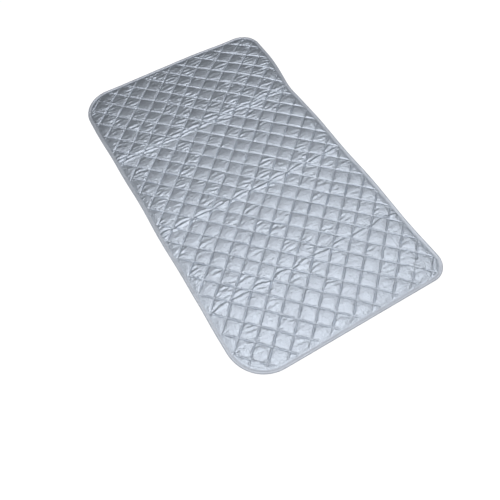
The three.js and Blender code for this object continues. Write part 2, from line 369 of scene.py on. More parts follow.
def outline(step):
    """Points round the pad's outline, about a step apart, anticlockwise from its far right corner."""
    corners = [
        (HALF_WIDTH, HALF_LENGTH, FAR_RIGHT_RADIUS, 0.0),
        (-HALF_WIDTH, HALF_LENGTH, FAR_LEFT_RADIUS, 90.0),
        (-HALF_WIDTH, -HALF_LENGTH, NEAR_LEFT_RADIUS, 180.0),
        (HALF_WIDTH, -HALF_LENGTH, NEAR_RIGHT_RADIUS, 270.0),
    ]
    points = []
    for corner_x, corner_y, radius, first in corners:
        centre_x = corner_x - math.copysign(radius, corner_x)
        centre_y = corner_y - math.copysign(radius, corner_y)
        count = round(radius * math.pi / 2 / step)
        for turn in np.radians(first + np.linspace(0.0, 90.0, count + 1)):
            points.append((centre_x + radius * math.cos(turn), centre_y + radius * math.sin(turn)))
    loop = np.array(points + points[:1])
    total = run_along(loop)[-1]
    return points_at(loop, np.linspace(0.0, total, round(total / step), endpoint=False))


def seam_direction(angle):
    """One diamond's side along seams that lie at an angle to the pad's width."""
    between = math.radians(RISING_SEAM_ANGLE - FALLING_SEAM_ANGLE)
    length = SEAM_PITCH / math.sin(between)
    return length * np.array([math.cos(math.radians(angle)), math.sin(math.radians(angle))])


def from_lattice(lattice):
    """Flat places of lattice points.

    Whole first numbers lie on falling seams, and whole second ones on rising seams."""
    flat = np.array(SEAM_CROSSING) + lattice[..., :1] * seam_direction(RISING_SEAM_ANGLE)
    flat = flat + lattice[..., 1:2] * seam_direction(FALLING_SEAM_ANGLE)
    wander = [ripple(flat, SEAM_WANDER_LENGTH, seed) for seed in SEAM_SEEDS]
    return flat + SEAM_WANDER * np.stack(wander, axis=-1)


def full_lattice(cells):
    """Lattice numbers of a net with so many cells to a diamond's side, closest beside the seams."""
    share = np.arange(cells) / cells
    share = share - SEAM_FINENESS * np.sin(2.0 * math.pi * share) / (2.0 * math.pi)
    lines = (np.arange(LATTICE_COUNT)[:, None] + share).ravel()
    first, second = [start + lines for start in LATTICE_START]
    return np.stack(np.meshgrid(first, second, indexing="ij"), axis=-1)


Grid = namedtuple("Grid", "flat lattice depth loops sizes source")


def clip_cell(corners, depth, crossing):
    """The part of a cell inside the edge, with new corners where its sides cross it."""
    kept = []
    for here, after in zip(corners, corners[1:] + corners[:1]):
        if depth[here] >= 0:
            kept.append(here)
        if (depth[here] > 0 > depth[after]) or (depth[here] < 0 < depth[after]):
            kept.append(crossing(min(here, after), max(here, after)))
    return kept


def quilt_grid(cells, inset):
    """A flat mesh along the seams, so many cells to a diamond's side, cut off inside the edge."""
    net = full_lattice(cells)
    lattice = net.reshape(-1, 2)
    flat = from_lattice(lattice)
    depth = depth_inside(flat) - inset
    close = np.abs(depth) < EDGE_SNAP
    flat[close] -= inward(flat[close]) * depth[close, None]
    depth[close] = 0.0
    index = np.arange(len(lattice)).reshape(net.shape[:2])
    corners = [index[:-1, :-1], index[:-1, 1:], index[1:, 1:], index[1:, :-1]]
    cell = np.stack(corners, axis=-1).reshape(-1, 4)
    inside = depth[cell] >= 0
    whole = cell[inside.all(axis=1)]
    cut = cell[inside.any(axis=1) & ~inside.all(axis=1)]
    added_flat, added_lattice, made = [], [], {}

    def crossing(low, high):
        if (low, high) not in made:
            made[low, high] = len(flat) + len(added_flat)
            share = depth[low] / (depth[low] - depth[high])
            added_flat.append(flat[low] + share * (flat[high] - flat[low]))
            added_lattice.append(lattice[low] + share * (lattice[high] - lattice[low]))
        return made[low, high]

    faces = whole.tolist()
    for corners in cut.tolist():
        kept = clip_cell(corners, depth, crossing)
        if len(kept) > 2:
            faces.append(kept)
    source = np.concatenate([np.arange(len(flat)), np.full(len(added_flat), -1)])
    flat = np.concatenate([flat, np.array(added_flat)])
    lattice = np.concatenate([lattice, np.array(added_lattice)])
    loops = np.concatenate([np.array(face) for face in faces])
    used, loops = np.unique(loops, return_inverse=True)
    flat, lattice = flat[used], lattice[used]
    sizes = np.array([len(face) for face in faces])
    return Grid(flat, lattice, depth_inside(flat), loops, sizes, source[used])


def on_seam(lattice):
    """Which lattice points lie on a seam."""
    return (np.abs(lattice - np.round(lattice)) < HAIR).any(axis=-1)


def puff(lattice):
    """A diamond's plain pillow shape: 0 on its seams and 1 in its middle."""
    share = lattice - np.floor(lattice)
    across = 4.0 * share * (1.0 - share)
    return np.clip(across[..., 0] * across[..., 1], 0.0, 1.0)


def groove(lattice):
    """How far a point stands clear of the narrow groove along each seam: 0 on a seam and 1 away from it."""
    share = lattice - np.floor(lattice)
    away = np.minimum(share, 1.0 - share) * SEAM_PITCH / GROOVE_REACH
    clear = 1.0 - (1.0 - np.minimum(away, 1.0)) ** 2
    return clear[..., 0] * clear[..., 1]


def magnet_places():
    """Middle and radius of each magnet, from the frame."""
    places = []
    for name in MAGNETS:
        low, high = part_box("magnet_" + name)
        middle = (low + high) / 2 / MM
        places.append((middle.x, middle.y, (high.x - low.x) / 2 / MM))
    return places


def over_magnets(laid, rim, shoulder):
    """1 over the magnets and a rim round them, and 0 past a shoulder, at laid points."""
    over = np.zeros(laid.shape[:-1])
    for x, y, radius in magnet_places():
        away = np.hypot(laid[..., 0] - x, laid[..., 1] - y)
        over = np.maximum(over, 1.0 - smooth(away, radius + rim, radius + shoulder))
    return over


def length_of(y):
    """Which of the three lengths of cloth a place along the pad belongs to."""
    return np.where(y > MEETING_Y[0], 0, np.where(y > MEETING_Y[1], 1, 2))


def crease_line(fold, flat):
    """Where a fold's crease runs along the pad, at flat points."""
    middle = FOLD_Y[fold] + CREASE_SHIFT[fold]
    return middle + CREASE_WANDER * ripple(flat, CREASE_WANDER_LENGTH, CREASE_SEED + fold)


def crease_ridges(flat):
    """Height of the ridge that each fold leaves, uneven along it, with a valley on its far side."""
    rise = np.zeros(flat.shape[:-1])
    for fold, height in enumerate(CREASE_RIDGE):
        away = flat[..., 1] - crease_line(fold, flat)
        rise = rise + height * bell(away + RIDGE_BEFORE, RIDGE_REACH)
        rise = rise - height * CREASE_VALLEY * bell(away - VALLEY_BEYOND, VALLEY_REACH)
    return rise * (1.0 - CREASE_UNEVEN + CREASE_UNEVEN * ripple(flat, CREASE_PATCH, RIDGE_SEED))


def diamond_luck(lattice):
    """A random number from 0 to 1 for the diamond that each lattice point lies in."""
    diamond = np.floor(lattice + TINY).astype(int) - LATTICE_START
    luck = np.random.default_rng(LUCK_SEED).uniform(0.0, 1.0, (LATTICE_COUNT,) * 2)
    return luck[diamond[..., 0], diamond[..., 1]]


def cloth_slack(lattice, flat):
    """Spare cloth along the pad: some in every diamond, more beside the folds and most in their creases.

    Also gives small starting bumps, which choose where the spare cloth rises."""
    y = flat[..., 1]
    luck = diamond_luck(lattice)
    busy = BUSY + BUSY_FAR * smooth(y, *BUSY_FAR_SPAN)
    for fold in FOLD_Y:
        busy = busy + BUSY_FOLD * bell(y - fold - BUSY_FOLD_BEYOND, BUSY_FOLD_REACH)
    patch = PATCH_LEAST + PATCH_MORE * smooth(ripple(flat, SLACK_PATCH, PATCH_SEED), *PATCH_SPAN)
    slack = (LEAST_SLACK + UNEVEN_SLACK * luck**LUCK_POWER) * busy * patch
    bumps = BUMP_HEIGHT * ripple(flat, BUMP_LENGTH, BUMP_SEED, FINE_WAVES, BUMP_STRETCH)
    bumps = bumps * (BUMP_LEAST + luck)
    for fold, beyond, spare, reach in CREASES:
        crease = bell(y - crease_line(fold, flat) - beyond, reach)
        slack = slack + spare * (1.0 - CREASE_UNEVEN + CREASE_UNEVEN * luck) * crease
        bumps = bumps + CREASE_BUMP * crease
    return slack, bumps


def add_object(name, data):
    """An object for a mesh, a lamp or a camera, in the scene."""
    obj = bpy.data.objects.new(name, data)
    bpy.context.scene.collection.objects.link(obj)
    return obj


def add_piece(name, points, faces, material):
    """An object with a smooth mesh of points in millimetres."""
    mesh = bpy.data.meshes.new(name)
    mesh.from_pydata((np.asarray(points) * MM).tolist(), [], faces)
    mesh.polygons.foreach_set("use_smooth", np.ones(len(mesh.polygons), bool))
    mesh.materials.append(material)
    mesh.update()
    return add_object(name, mesh)


def split_loops(grid):
    """The grid's faces as lists of points."""
    return [part.tolist() for part in np.split(grid.loops, np.cumsum(grid.sizes)[:-1])]


def sums(index, rows, count):
    """Sums of the rows that share an index."""
    return np.stack([np.bincount(index, column, count) for column in rows.T], axis=1)


def loop_faces(sizes):
    """The first corner of each face in the list of all corners, and the face that each corner is on."""
    return np.cumsum(sizes) - sizes, np.repeat(np.arange(len(sizes)), sizes)


def neighbour_groups(count):
    """Pairs of neighbours on a square net, as slices, in groups that use no point twice."""
    every, early, late = slice(None), slice(None, -1), slice(1, None)
    groups = []
    for first in (0, 1):
        low = slice(first, count - 1, 2)
        high = slice(first + 1, count, 2)
        groups.append(((low, every), (high, every), 1.0))
        groups.append(((every, low), (every, high), 1.0))
        groups.append(((low, early), (high, late), DIAGONAL_TIE))
        groups.append(((low, late), (high, early), DIAGONAL_TIE))
    return groups


def bend(net):
    """How sharply a net's heights bend at each point."""
    bent = np.zeros_like(net)
    middle = net[1:-1, 1:-1]
    bent[1:-1, 1:-1] = net[2:, 1:-1] + net[:-2, 1:-1] + net[1:-1, 2:] + net[1:-1, :-2] - 4.0 * middle
    return bent


def settle_cloth(start, loose, slack, bumps):
    """Simulates the face cloth on its wadding.

    Each thread between neighbours keeps its cut length, which is longer than its place by the slack,
    so the cloth wrinkles. Sewn points stay, the wadding holds the rest near its start, and the cloth
    resists bending."""
    cloth = start.astype(np.float32)
    home = cloth.copy()
    loose = loose.astype(np.float32)
    threads = []
    for low, high, hold in neighbour_groups(len(cloth)):
        reach = cloth[high] - cloth[low]
        spare = (slack[low] + slack[high]) / 2.0
        reach[..., 0] *= 1.0 + SIDEWAYS_SLACK * spare
        reach[..., 1] *= 1.0 + spare
        length = np.linalg.norm(reach, axis=-1)
        moving = np.maximum(loose[low] + loose[high], HAIR) / hold
        threads.append((low, high, length, loose[low] / moving, loose[high] / moving))
    cloth[..., 2] += bumps * loose
    for _ in range(CLOTH_STEPS):
        for low, high, length, low_share, high_share in threads:
            reach = cloth[high] - cloth[low]
            now = np.maximum(np.linalg.norm(reach, axis=-1), HAIR)
            pull = (now - length) / now
            cloth[low] += reach * (pull * low_share)[..., None]
            cloth[high] -= reach * (pull * high_share)[..., None]
        cloth[..., 2] -= CLOTH_STIFFNESS * bend(bend(cloth[..., 2])) * loose
        cloth[..., 2] += WADDING_SUPPORT * (home[..., 2] - cloth[..., 2]) * loose
        cloth[..., :2] += WADDING_GRIP * (home[..., :2] - cloth[..., :2])
    return cloth.astype(float)


def ground_height(flat, depth):
    """Height of the face cloth where it is sewn: at the seams, over the magnets and under the tape."""
    ground = TUCK_HEIGHT + (SEAM_HEIGHT - TUCK_HEIGHT) * smooth(depth, TAPE_WIDTH, FREE_INSET)
    return ground + MAGNET_RISE * over_magnets(lay(flat), MAGNET_RIM, MAGNET_SHOULDER)


def pillow_height(lattice, flat, depth):
    """Height of the face cloth before it settles."""
    loft = PUFF_HEIGHT * puff(lattice) ** PUFF_ROUNDNESS * smooth(depth, FREE_INSET, FREE_INSET + PUFF_RAMP)
    beside = GROOVE_DEPTH * groove(lattice) * smooth(depth, FREE_INSET, FREE_INSET + GROOVE_RAMP)
    flattened = 1.0 - MAGNET_FLATTENS * over_magnets(lay(flat), MAGNET_RIM, MAGNET_SHOULDER)
    return ground_height(flat, depth) + (loft + beside) * flattened


def keep_low(height, y):
    """Eases the highest wrinkles down, so that folded panels clear each other."""
    limit = np.full(height.shape, HIGHEST_PUFF)
    for fold, rise, reach in zip(FOLD_Y, CREASE_RISE, CREASE_RISE_REACH):
        limit = limit + rise * bell(y - fold, reach)
    over = np.maximum(height - limit + EASING_ROOM, 0.0)
    eased = np.where(over > 0.0, limit - EASING_ROOM * np.exp(-over / EASING_ROOM), height)
    return np.maximum(eased, TUCK_HEIGHT)


def settled_net():
    """The face cloth on a net twice as fine as the top's grid, flat and with its settled height."""
    net = full_lattice(2 * TOP_CELLS)
    places = from_lattice(net)
    depth = depth_inside(places)
    start = np.concatenate([places, pillow_height(net, places, depth)[..., None]], axis=-1)
    loose = ~on_seam(net) & (depth > FREE_INSET)
    return settle_cloth(start, loose, *cloth_slack(net, places))


def quilted_surface(grid, refined):
    """Puts the points of the refined face cloth where the settled cloth lies."""
    row, column = np.divmod(grid.source, LATTICE_COUNT * TOP_CELLS)
    inside = (grid.source >= 0).astype(float)
    known = refine(np.column_stack([row, column, inside]), grid).points
    depth = refine(np.column_stack([grid.flat, grid.depth]), grid).points[:, 2]
    place = np.round(2.0 * known[:, :2]).astype(int)
    sure = (known[:, 2] > 1.0 - TINY) & (np.abs(2.0 * known[:, :2] - place) < HAIR).all(axis=1)
    sure &= depth > SETTLED_INSET
    settled = settled_net()[tuple(place[sure].T)]
    refined.points[sure, :2] = lay(settled[:, :2])
    refined.points[sure, 2] = settled[:, 2]


def seam_distance(lattice):
    """Distance of lattice points from the nearest seam."""
    return np.abs(lattice - np.round(lattice)).min(axis=-1) * SEAM_PITCH


def puckers(points, from_seam):
    """Height of the small gathers that the stitches draw up on both sides of a seam."""
    beside = bell((from_seam - PUCKER_REACH) * PUCKER_SHARPNESS, PUCKER_REACH)
    return PUCKER_HEIGHT * beside * ripple(points, PUCKER_LENGTH, PUCKER_SEED, FINE_WAVES)


def crinkles(points):
    """Height of the face cloth's small crumples: ridges, and waves of half their length."""
    seed, fine_seed = CRINKLE_SEEDS
    share, fine_share = CRINKLE_SHARES
    ridges = 1.0 - np.abs(ripple(points, CRINKLE_LENGTH, seed, FINE_WAVES, CRINKLE_STRETCH))
    fine = ripple(points, CRINKLE_LENGTH / 2.0, fine_seed, FINE_WAVES)
    return CRINKLE_HEIGHT * (share * ridges + fine_share * fine)


Refined = namedtuple("Refined", "points quads face_of_quad edges edge_of_loop")


def refine(points, grid):
    """One Catmull-Clark step: corner points first, then a point for each side and a point for each face."""
    loops, sizes = grid.loops, grid.sizes
    starts, face = loop_faces(sizes)
    place = np.arange(len(loops)) - starts[face]
    after = starts[face] + (place + 1) % sizes[face]
    before = starts[face] + (place - 1) % sizes[face]
    pairs = np.sort(np.column_stack([loops, loops[after]]), axis=1)
    edges, edge = np.unique(pairs, axis=0, return_inverse=True)
    edge = edge.ravel()
    corner_count, edge_total, face_total = len(points), len(edges), len(sizes)
    uses = np.bincount(edge, minlength=edge_total)
    face_points = sums(face, points[loops], face_total) / sizes[:, None]
    middles = points[edges].mean(axis=1)
    near_faces = sums(edge, face_points[face], edge_total)
    edge_points = np.where((uses == 2)[:, None], (2.0 * middles + near_faces) / 4.0, middles)
    valence = np.bincount(loops, minlength=corner_count)[:, None]
    mean_face = sums(loops, face_points[face], corner_count) / valence
    ends = edges.ravel()
    degree = np.bincount(ends, minlength=corner_count)[:, None]
    mean_middle = sums(ends, np.repeat(middles, 2, axis=0), corner_count) / degree
    corners = (mean_face + 2.0 * mean_middle + (valence - 3.0) * points) / valence
    rim = np.unique(edges[uses == 1])
    corners[rim] = points[rim]
    quads = np.column_stack(
        [loops, corner_count + edge, corner_count + edge_total + face, corner_count + edge[before]]
    )
    return Refined(np.concatenate([corners, edge_points, face_points]), quads, face, edges, edge)


def shell_of_length(length, refined, grid, piece_of_face, inner):
    """One length of a quilted layer as a closed body: a fine outer face, a plain inner one and a rim."""
    mine = piece_of_face[refined.face_of_quad] == length
    corner_count = len(grid.flat)
    total = len(refined.points)
    outer = refined.quads[mine]
    inner_faces = [
        [total + corner for corner in reversed(face)]
        for face, piece in zip(split_loops(grid), piece_of_face)
        if piece == length
    ]
    edge_of_loop = refined.edge_of_loop
    uses = np.bincount(edge_of_loop[mine], minlength=len(refined.edges))
    rim_loops = np.flatnonzero(mine & (uses[edge_of_loop] == 1))
    starts, _ = loop_faces(grid.sizes)
    face = refined.face_of_quad[rim_loops]
    after = starts[face] + (rim_loops - starts[face] + 1) % grid.sizes[face]
    here, there = grid.loops[rim_loops], grid.loops[after]
    middle = corner_count + edge_of_loop[rim_loops]
    rim = np.column_stack([there, middle, here, total + here, total + there])
    points = np.concatenate([refined.points, inner])
    faces = outer.tolist() + inner_faces + rim.tolist()
    sharp = np.concatenate([np.column_stack([here, middle]), np.column_stack([middle, there])])
    sharp = np.concatenate([sharp, total + np.column_stack([here, there])])
    return points, faces, sharp


def only_used(points, faces, sharp):
    """The points that faces use, with faces and sharp edges renumbered."""
    used = np.unique(np.concatenate([np.array(face) for face in faces]))
    number = np.full(len(points), -1)
    number[used] = np.arange(len(used))
    return points[used], [number[face].tolist() for face in faces], number[sharp]


def mark_sharp(mesh, sharp):
    """A hard line in the shading along the given edges."""
    ends = np.empty(len(mesh.edges) * 2, np.int32)
    mesh.edges.foreach_get("vertices", ends)
    ends = np.sort(ends.reshape(-1, 2), axis=1).astype(np.int64)
    wanted = np.sort(np.asarray(sharp, np.int64), axis=1)
    size = len(mesh.vertices)
    hard = np.isin(ends[:, 0] * size + ends[:, 1], wanted[:, 0] * size + wanted[:, 1])
    attribute = mesh.attributes.new("sharp_edge", "BOOLEAN", "EDGE")
    attribute.data.foreach_set("value", hard)
    mesh.update()


def bend_across_fold(obj, length):
    """Bakes the placement of a length of cloth into its mesh points."""
    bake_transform(obj)


def panels_of(length):
    """Short names of the two panels that a length of cloth lies on."""
    joint = FOLDS[length]
    return [joint[end].replace("_panel", "") for end in ("parent", "child")]


def diamond_lengths(grid):
    """The length of cloth that each face belongs to, with whole diamonds kept together."""
    sizes = grid.sizes
    _, face = loop_faces(sizes)
    middle = sums(face, grid.lattice[grid.loops], len(sizes)) / sizes[:, None]
    return length_of(from_lattice(np.floor(middle) + 0.5)[:, 1])


def add_shell(name, shell, material):
    """A closed body of a quilted layer as an object, with its points."""
    points, faces, sharp = only_used(*shell)
    piece = add_piece(name, points, faces, material)
    mark_sharp(piece.data, sharp)
    return piece, points


def add_layers(material, backing_material):
    """The padded top and the backing, in three lengths each, and the surface that thread is sewn on."""
    grid = quilt_grid(TOP_CELLS, TUCK_INSET)
    height = pillow_height(grid.lattice, grid.flat, grid.depth)
    top = np.column_stack([lay(grid.flat), keep_low(height, grid.flat[:, 1])])
    lower = backing_height(grid)
    under = lower + BACKING_THICK + INNER_GAP
    room = over_magnets(top[:, :2], POUCH_ROOM_RIM, POUCH_ROOM_SHOULDER)
    inner = np.column_stack([top[:, :2], under + (POUCH_ROOM_TOP - under) * room])
    refined = refine(top, grid)
    quilted_surface(grid, refined)
    marks = np.column_stack([grid.depth, groove(grid.lattice), seam_distance(grid.lattice)])
    depth, clear, from_seam = refine(marks, grid).points.T
    small = crinkles(refined.points) + puckers(refined.points, from_seam) + crease_ridges(refined.points)
    refined.points[:, 2] += small * clear * smooth(depth, FREE_INSET, FREE_INSET + CRINKLE_RAMP)
    refined.points[:, 2] = keep_low(refined.points[:, 2], refined.points[:, 1])
    piece_of_face = diamond_lengths(grid)
    for length, name in enumerate(LENGTHS):
        shell = shell_of_length(length, refined, grid, piece_of_face, inner)
        piece, _ = add_shell("padded_top_" + name, shell, material)
        bend_across_fold(piece, length)
        for panel in panels_of(length):
            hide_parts("top_cover_" + panel, "wadding_" + panel)
    add_backing(backing_material)
    return grid, top


def backing_height(grid):
    """Height of the backing's lower face: flat where it rests, drawn in along the seams and the edge."""
    drawn = BACKING_RELIEF * (1.0 - puff(grid.lattice)) ** 2
    drawn = drawn * (1.0 - over_magnets(lay(grid.flat), POUCH_ROOM_SHOULDER, 2.0 * POUCH_ROOM_SHOULDER))
    rim = smooth(grid.depth, BACKING_RIM_START, BACKING_RIM_END)
    return drawn * (1.0 - rim) + BACKING_RIM_LIFT * rim


def add_backing(material):
    """The backing cloth, in three lengths."""
    grid = quilt_grid(BACKING_CELLS, TUCK_INSET)
    laid = lay(grid.flat)
    lower = np.column_stack([laid, backing_height(grid)])
    starts, face = loop_faces(grid.sizes)
    place = np.arange(len(grid.loops)) - starts[face]
    turned = grid._replace(loops=grid.loops[starts[face] + grid.sizes[face] - 1 - place])
    inner = lower + [0.0, 0.0, BACKING_THICK]
    refined = refine(lower, turned)
    piece_of_face = diamond_lengths(turned)
    for length, name in enumerate(LENGTHS):
        shell = shell_of_length(length, refined, turned, piece_of_face, inner)
        piece, points = add_shell("backing_cloth_" + name, shell, material)
        bend_across_fold(piece, length)
        for panel in panels_of(length):
            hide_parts("backing_" + panel)


def tape_section():
    """The tape's folded section as a closed loop: distance in from the outer edge, and height."""
    wide, sewn = TAPE_WIDTH, TAPE_SEWN_INSET
    skin = [(wide, 2.2), (wide - 0.2, 2.45), (sewn + 0.6, 2.5), (sewn, 2.3), (sewn - 0.6, 2.65)]
    skin += [(4.3, 3.1), (3.1, 3.3), (1.9, 3.15), (0.85, 2.7), (0.2, 2.05), (0.0, 1.4)]
    skin += [(0.3, 0.75), (1.1, 0.25), (2.4, 0.05), (4.4, 0.0)]
    skin += [(sewn - 0.5, 0.05), (sewn, 0.25), (sewn + 0.5, 0.05), (wide - 0.2, 0.0), (wide, 0.2)]
    lining = [(wide - 0.1, 0.5), (sewn, 0.65), (3.0, 0.55), (1.4, 0.8), (0.7, 1.5)]
    lining += [(1.3, 2.3), (3.0, 2.8), (4.4, 2.6), (sewn, 1.98), (wide - 0.1, 2.0)]
    return np.array(skin + lining), len(skin)


def tape_folds(edge, into):
    """Small gathers along the tape, which grow where it goes round the corners."""
    ahead, behind = (np.roll(into, steps, axis=0) for steps in (-TAPE_TURN_STEPS, TAPE_TURN_STEPS))
    turning = np.abs(ahead - behind).sum(axis=1)
    corner = np.clip(turning * TAPE_CORNER_GAIN, 0.0, 1.0)
    along = np.column_stack([np.arange(len(edge)) * TAPE_STEP, np.zeros(len(edge))])
    gather_seed, sway_seed = TAPE_SEEDS
    plain, more = TAPE_GATHERS
    gathers = (plain + more * corner) * ripple(along, TAPE_GATHER_LENGTH, gather_seed)
    return gathers + TAPE_SWAY * ripple(along, TAPE_SWAY_LENGTH, sway_seed)


def add_tape(material):
    """The tape folded over the edge, in three lengths."""
    edge = outline(TAPE_STEP)
    into = inward(edge)
    section, skin_count = tape_section()
    count, around = len(edge), len(section)
    flat = edge[:, None, :] + into[:, None, :] * section[None, :, :1]
    swell = (np.arange(around) < skin_count) * smooth(section[:, 1], *TAPE_SWELL_HEIGHTS)
    swell = swell * (1.0 - TAPE_HELD * smooth(section[:, 0], TAPE_HELD_FROM, TAPE_SEWN_INSET))
    height = section[None, :, 1] + tape_folds(edge, into)[:, None] * swell
    points = np.column_stack([lay(flat.reshape(-1, 2)), height.ravel()])
    ring = np.arange(around)
    after_ring = (ring + 1) % around
    piece = length_of(edge[:, 1])
    width = run_along(section[:skin_count])[-1]
    for length, name in enumerate(LENGTHS):
        faces = []
        steps = np.flatnonzero(piece == length)
        for step in steps:
            after = (step + 1) % count
            here, there = step * around, after * around
            quads = np.column_stack([here + ring, here + after_ring, there + after_ring, there + ring])
            faces.extend(quads.tolist())
            if piece[step - 1] != length:
                faces.append((here + ring[::-1]).tolist())
            if piece[after] != length:
                faces.append((there + ring).tolist())
        mine, numbered, _ = only_used(points, faces, np.zeros((0, 2), int))
        tape = add_piece("edge_tape_" + name, mine, numbered, material)
        bend_across_fold(tape, length)
        for panel in panels_of(length):
            if panel in ("far", "near"):
                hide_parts(f"binding_{panel}_end")
            else:
                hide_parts(f"binding_{panel}_left", f"binding_{panel}_right")


def tape_stitch_path(height):
    """The path of the tape's stitching, right round the pad."""
    edge = outline(TAPE_STEP)
    flat = lay(edge + inward(edge) * TAPE_SEWN_INSET)
    path = np.column_stack([flat, np.full(len(flat), height)])
    return np.concatenate([path, path[:1]])


def add_pouch(name, material):
    """A gathered cloth cap over a magnet, with a flange that is sewn to the backing."""
    low, high = [np.array(corner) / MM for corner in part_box("magnet_pouch_" + name)]
    disc_low, disc_high = [np.array(corner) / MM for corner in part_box("magnet_" + name)]
    middle = (low + high) / 2
    flange, disc = (high[0] - low[0]) / 2, (disc_high[0] - disc_low[0]) / 2
    base, crown = low[2] + POUCH_LIFT, high[2]
    disc_top = disc_high[2]
    ceiling = disc_top + POUCH_CAP_GAP
    wall = disc + POUCH_CLEARANCE
    cap = wall * POUCH_CAP_SHARE
    skin = wall + POUCH_THICK
    flange_top = base + POUCH_THICK
    inner = [
        (flange, base),
        (wall + 0.5, base),
        (wall, base + 0.3),
        (wall, disc_top - 0.2),
        (wall - 0.3, ceiling),
        (cap, ceiling),
    ]
    outer = [
        (cap, crown),
        (wall - 0.1, crown - 0.03),
        (skin, disc_top - 0.1),
        (skin, flange_top + 0.4),
        (skin + 0.5, flange_top),
        (flange - 0.1, flange_top),
    ]
    profile = np.array(inner + outer)
    turn = np.arange(POUCH_SIDES) * 2.0 * math.pi / POUCH_SIDES
    pleat = POUCH_PLEAT_DEPTH * (1.0 + np.cos(POUCH_PLEATS * turn))
    on_wall = np.zeros(len(profile))
    on_wall[len(inner) + 1 : len(inner) + 5] = 1.0
    radius = profile[None, :, 0] - pleat[:, None] * on_wall
    ring = np.stack([np.cos(turn)[:, None] * radius, np.sin(turn)[:, None] * radius], axis=-1)
    height = np.broadcast_to(profile[:, 1], radius.shape)
    points = np.column_stack([ring.reshape(-1, 2) + middle[:2], height.ravel()])
    points = np.concatenate([points, [[*middle[:2], ceiling], [*middle[:2], crown]]])
    around = len(profile)
    faces = []
    for side in range(POUCH_SIDES):
        here, there = side * around, (side + 1) % POUCH_SIDES * around
        for spot in range(around):
            after = (spot + 1) % around
            if spot != len(inner) - 1:
                faces.append([here + spot, there + spot, there + after, here + after])
        faces.append([here + len(inner) - 1, there + len(inner) - 1, len(points) - 2])
        faces.append([there + len(inner), here + len(inner), len(points) - 1])
    pouch = add_piece("lining_pouch_" + name, points, faces, material)
    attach(pouch, name.split("_")[0] + "_panel")
    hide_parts("magnet_pouch_" + name)


def stitch_points(path):
    """First and last points of the stitches along a path, a stitch pitch apart."""
    middles = np.arange(STITCH_PITCH / 2, run_along(path)[-1], STITCH_PITCH)
    return [points_at(path, middles + shift) for shift in (-STITCH_LENGTH / 2, STITCH_LENGTH / 2)]


def stitch_bodies(first, last, up):
    """Points and faces of stitches, as slim tapered prisms between two sets of points."""
    along = last - first
    unit = along / np.linalg.norm(along, axis=1)[:, None]
    side = np.cross(unit, [0.0, 0.0, 1.0])
    side = side / np.linalg.norm(side, axis=1)[:, None]
    rise = np.cross(side, unit) * up
    middle = (first + last) / 2
    half = THREAD_WIDTH / 2
    rings = []
    for share in (-STITCH_TAPER / 2, STITCH_TAPER / 2):
        for across, over in ((half, 0.0), (0.0, half * THREAD_CROWN), (-half, 0.0), (0.0, -half)):
            rings.append(middle + along * share + side * across + rise * over)
    corners = np.stack([first, *rings, last], axis=1)
    pattern = [[0, 2, 1], [0, 3, 2], [0, 4, 3], [0, 1, 4]]
    pattern += [[9, 5, 6], [9, 6, 7], [9, 7, 8], [9, 8, 5]]
    pattern += [[1, 2, 6, 5], [2, 3, 7, 6], [3, 4, 8, 7], [4, 1, 5, 8]]
    faces = []
    for base in range(0, len(first) * corners.shape[1], corners.shape[1]):
        faces.extend([base + corner for corner in face] for face in pattern)
    return corners.reshape(-1, 3), faces


def seam_paths(grid, points):
    """The paths of the seams over a quilted surface, one for each row of stitches."""
    paths = []
    for axis in (0, 1):
        whole = np.round(grid.lattice[:, axis])
        on = (np.abs(grid.lattice[:, axis] - whole) < HAIR) & (grid.depth > SEAM_END_INSET)
        for line in np.unique(whole[on]):
            mine = np.flatnonzero(on & (whole == line))
            order = mine[np.argsort(grid.lattice[mine, 1 - axis])]
            if len(order) > 2:
                paths.append(points[order])
    return paths


def add_thread(name, paths, lift, up, material):
    """Rows of stitches along paths, in three lengths, lifted off them and crowned upwards or downwards."""
    ends = [stitch_points(path + [0.0, 0.0, lift]) for path in paths]
    first = np.concatenate([end[0] for end in ends])
    last = np.concatenate([end[1] for end in ends])
    piece = length_of((first[:, 1] + last[:, 1]) / 2)
    for length, part in enumerate(LENGTHS):
        mine = piece == length
        points, faces = stitch_bodies(first[mine], last[mine], up)
        thread = add_piece(f"{name}_{part}", points, faces, material)
        bend_across_fold(thread, length)


def node(tree, kind, place, **values):
    """A shader node with its settings and input values."""
    made = tree.nodes.new(kind)
    made.location = place
    for key, value in values.items():
        if key in made.inputs:
            made.inputs[key].default_value = value
        else:
            setattr(made, key, value)
    return made


def new_material(name):
    """A material with nodes, and its tree."""
    material = bpy.data.materials.new(name)
    material.use_nodes = True
    return material, material.node_tree


